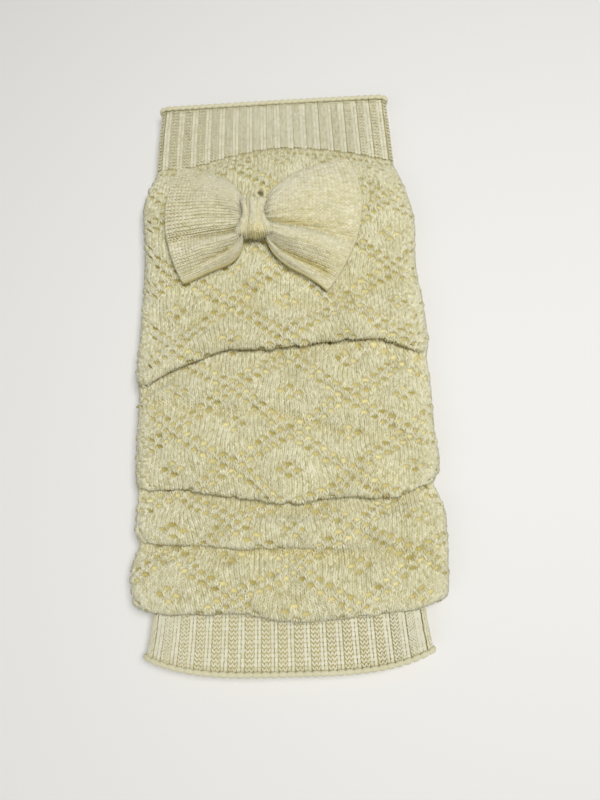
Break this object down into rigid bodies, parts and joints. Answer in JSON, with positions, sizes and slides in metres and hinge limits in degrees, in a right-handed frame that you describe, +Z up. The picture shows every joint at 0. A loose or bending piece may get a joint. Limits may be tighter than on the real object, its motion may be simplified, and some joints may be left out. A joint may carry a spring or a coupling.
{
  "type": "pair of knitted boot cuffs",
  "caption": "Slouched lace-knit tubes with ribbed ends, lying flat as a stacked pair, a knitted bow on the upper one; worn round the calf over a boot's top.",
  "frame": {"origin": "middle of the pair's outline, on the surface it lies on", "axes": "+Z up out of the surface, +Y along the tubes towards the top ribs at the bow's end, +X to the right seen from above with the bow at the top"},
  "size_m": [0.1265, 0.255, 0.0263],
  "materials": {
    "lace_yarn": "soft matte cream knit with a light fuzz",
    "rib_yarn": "soft matte cream two-by-two rib",
    "bow_yarn": "soft matte cream fine stockinette"
  },
  "bodies": {
    "root": {"front_cuff_top_rib": "rib_yarn", "front_cuff_lace_body": "lace_yarn", "front_cuff_bottom_rib": "rib_yarn", "rear_cuff_top_rib": "rib_yarn", "rear_cuff_lace_body": "lace_yarn", "rear_cuff_bottom_rib": "rib_yarn", "bow_strip": "bow_yarn", "bow_band": "bow_yarn"}
  },
  "joints": []
}
